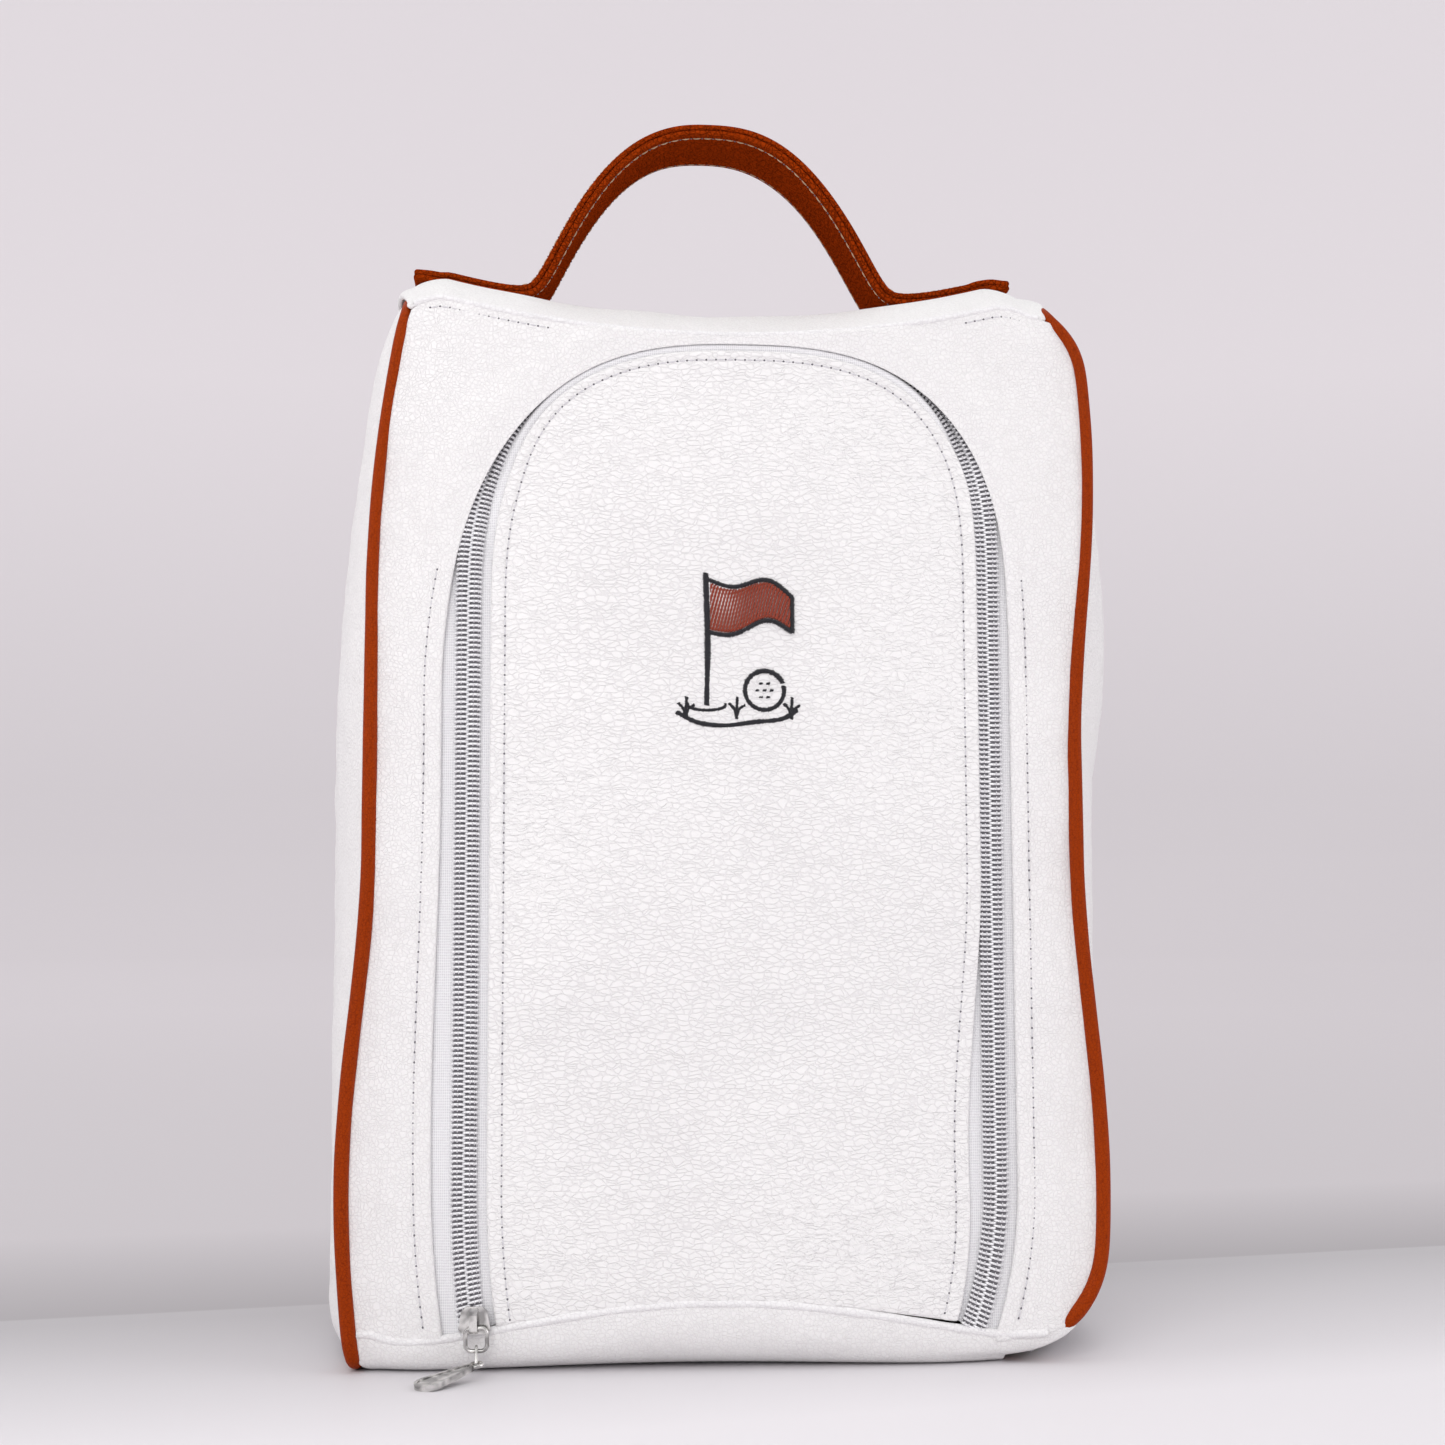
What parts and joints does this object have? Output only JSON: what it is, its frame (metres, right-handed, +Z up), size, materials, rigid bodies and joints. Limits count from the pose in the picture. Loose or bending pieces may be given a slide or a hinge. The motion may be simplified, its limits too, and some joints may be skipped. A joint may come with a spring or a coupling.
{
  "type": "golf shoe bag",
  "caption": "Upright white leather shoe bag with an arched zipped front door, tan piped gussets and a tan strap handle on top.",
  "frame": {"origin": "on the floor under the middle of the bag, half way between its side gussets and between its front and back seams", "axes": "+Z up, the zipped front faces -Y, +X to the right as seen from the front"},
  "size_m": [0.276, 0.1654, 0.4306],
  "materials": {
    "white_leather": "pebbled, semi-matte",
    "tan_leather": "smooth, satin",
    "lining": "woven cloth",
    "board": "plain",
    "tape": "woven tape",
    "coil": "metallic coating",
    "nickel": "polished nickel plate",
    "thread_dark": "embroidery thread",
    "thread_rust": "embroidery thread"
  },
  "bodies": {
    "body": {"front_surround": "white_leather", "door_hem": "white_leather", "back_panel": "white_leather", "gusset_left": "white_leather", "gusset_right": "white_leather", "top_panel": "white_leather", "base_panel": "white_leather", "base_board": "board", "lining_front": "lining", "lining_back": "lining", "lining_left": "lining", "lining_right": "lining", "lining_top": "lining", "piping_left": "tan_leather", "piping_right": "tan_leather", "welt_top": "white_leather", "welt_base": "white_leather", "tape_frame": "tape", "coil_frame": "coil", "zip_foot": "tape", "strap_outer": "tan_leather", "strap_inner": "tan_leather"},
    "door": {"door_panel": "white_leather", "lining_door": "lining", "tape_door": "tape", "coil_door": "coil", "motif_dark": "thread_dark", "motif_fill": "thread_rust"},
    "slider": {"slider_body": "nickel"},
    "ring": {"pull_ring": "nickel"},
    "link": {"pull_link": "nickel"},
    "tab": {"pull_tab": "nickel"}
  },
  "joints": [
    {"name": "door_hinge", "type": "hinge", "parent": "body", "child": "door", "pos_m": [0, -0.07318, 0.025], "axis": [1, 0, 0], "range_deg": [0, 95]},
    {"name": "slider_travel", "type": "slide", "parent": "body", "child": "slider", "axis": [-0.0226, 0.0471, 0.9986], "range_m": [0, 0.244]},
    {"name": "ring_swing", "type": "hinge", "parent": "slider", "child": "ring", "pos_m": [-0.08172, -0.07368, 0.01561], "axis": [-0.9953, 0.0928, -0.0269], "range_deg": [0, 120]},
    {"name": "link_swing", "type": "hinge", "parent": "ring", "child": "link", "pos_m": [-0.08156, -0.07402, 0.00842], "axis": [1, 0, 0], "range_deg": [-50, 0]},
    {"name": "tab_swing", "type": "hinge", "parent": "link", "child": "tab", "pos_m": [-0.08156, -0.07563, 0.00498], "axis": [1, 0, 0], "range_deg": [-35, 0]}
  ]
}
